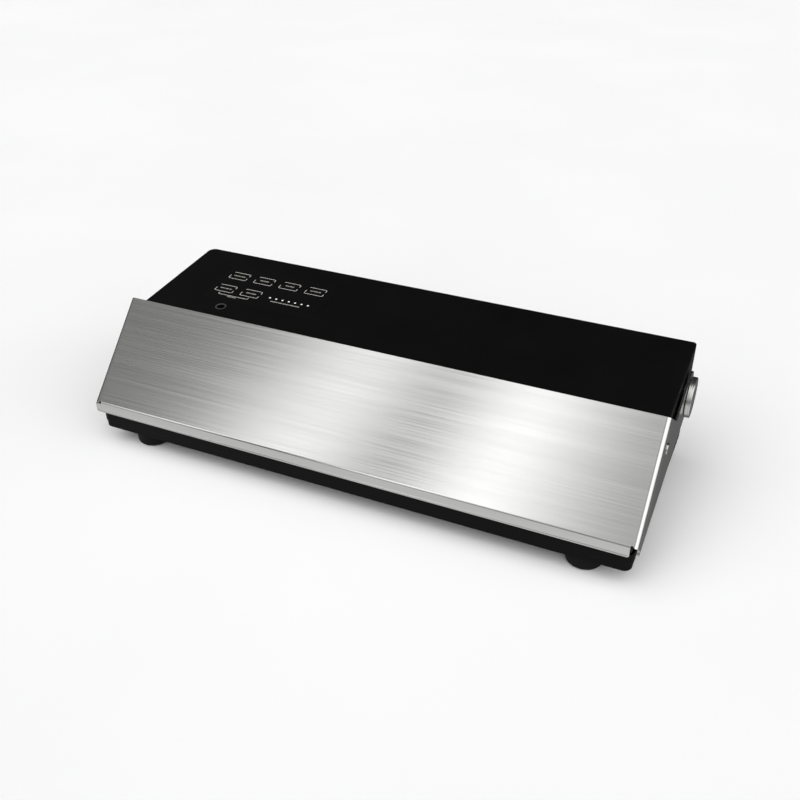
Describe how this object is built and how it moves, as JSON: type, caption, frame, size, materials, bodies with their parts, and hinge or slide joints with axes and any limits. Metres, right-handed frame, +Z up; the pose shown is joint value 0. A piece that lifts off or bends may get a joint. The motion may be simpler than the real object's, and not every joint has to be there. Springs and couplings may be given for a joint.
{
  "type": "vacuum sealer",
  "caption": "Countertop vacuum sealer with a hinged brushed-steel lid, a heated sealing bar, a vacuum chamber and a black rear housing with keys.",
  "frame": {"origin": "middle of the footprint, on the table under the feet", "axes": "+X to the user's right along the lid, +Y to the rear, +Z up"},
  "size_m": [0.4078, 0.16, 0.0936],
  "materials": {
    "black_shell": "satin black moulding",
    "steel": "brushed along the width",
    "bright_metal": "polished",
    "plated_steel": "plain plated steel",
    "black_rubber": "soft black rubber",
    "foam": "closed-cell foam",
    "silicone": "red silicone",
    "inner_plastic": "plain black moulding",
    "overlay": "smooth printed film",
    "key_cap": "black cap with a silver outline",
    "lamp": "white light pipe",
    "bar_metal": "extruded bar",
    "tape": "brown glass-cloth tape",
    "nylon": "off-white nylon",
    "tube": "translucent soft tube",
    "board": "green circuit board",
    "motor_can": "zinc-plated can",
    "pump_case": "dark grey moulding",
    "iron_core": "varnished laminations",
    "brass_part": "turned brass"
  },
  "bodies": {
    "body": {"base_shell": "black_shell", "bottom_cover": "inner_plastic", "top_housing": "black_shell", "rubber_feet": "black_rubber", "foot_screws": "plated_steel", "housing_screws": "plated_steel", "sealing_bar": "bar_metal", "heating_band": "plated_steel", "seal_tape": "tape", "lower_gasket": "foam", "vacuum_nozzle": "nylon", "control_overlay": "overlay", "control_board": "board", "board_screws": "plated_steel", "key_switches": "inner_plastic", "indicator_lamps": "lamp", "accessory_port": "black_shell", "release_valve": "pump_case", "valve_tube": "tube", "port_tube": "tube", "pump_tube": "tube", "tube_elbow": "nylon", "pump_motor": "motor_can", "motor_bracket": "plated_steel", "bracket_screws": "plated_steel", "pump_body": "pump_case", "pump_heads": "pump_case", "pump_end_plate": "pump_case", "power_board": "board", "transformer": "iron_core", "power_parts": "inner_plastic", "lid_switch": "inner_plastic", "cord_gland": "black_rubber", "hinge_pins": "plated_steel", "pivot_caps": "bright_metal"},
    "lid": {"lid_cover": "steel", "lid_frame": "inner_plastic", "upper_gasket": "foam", "pressure_strip": "silicone", "hinge_bushes": "nylon", "lid_rivets": "bright_metal"},
    "rotor": {"motor_shaft": "plated_steel", "pump_crank": "brass_part", "cooling_fan": "inner_plastic"},
    "power_key": {"power_key": "key_cap"},
    "start_key": {"start_key": "key_cap"},
    "seal_key": {"seal_key": "key_cap"},
    "pulse_key": {"pulse_key": "key_cap"},
    "moist_key": {"moist_key": "key_cap"},
    "canister_key": {"canister_key": "key_cap"}
  },
  "joints": [
    {"name": "lid_hinge", "type": "hinge", "parent": "body", "child": "lid", "pos_m": [0, 0.049, 0.0674], "axis": [-1, 0, 0], "range_deg": [0, 75]},
    {"name": "motor_spin", "type": "hinge", "parent": "body", "child": "rotor", "pos_m": [0, 0.03598, 0.05], "axis": [1, 0, 0], "continuous": true},
    {"name": "power_key_press", "type": "slide", "parent": "body", "child": "power_key", "axis": [0, 0.0755, -0.9971], "range_m": [0, 0.0004], "stiffness_N_per_m": 600},
    {"name": "start_key_press", "type": "slide", "parent": "body", "child": "start_key", "axis": [0, 0.0755, -0.9971], "range_m": [0, 0.0004], "stiffness_N_per_m": 600},
    {"name": "seal_key_press", "type": "slide", "parent": "body", "child": "seal_key", "axis": [0, 0.0755, -0.9971], "range_m": [0, 0.0004], "stiffness_N_per_m": 600},
    {"name": "pulse_key_press", "type": "slide", "parent": "body", "child": "pulse_key", "axis": [0, 0.0755, -0.9971], "range_m": [0, 0.0004], "stiffness_N_per_m": 600},
    {"name": "moist_key_press", "type": "slide", "parent": "body", "child": "moist_key", "axis": [0, 0.0755, -0.9971], "range_m": [0, 0.0004], "stiffness_N_per_m": 600},
    {"name": "canister_key_press", "type": "slide", "parent": "body", "child": "canister_key", "axis": [0, 0.0755, -0.9971], "range_m": [0, 0.0004], "stiffness_N_per_m": 600}
  ]
}
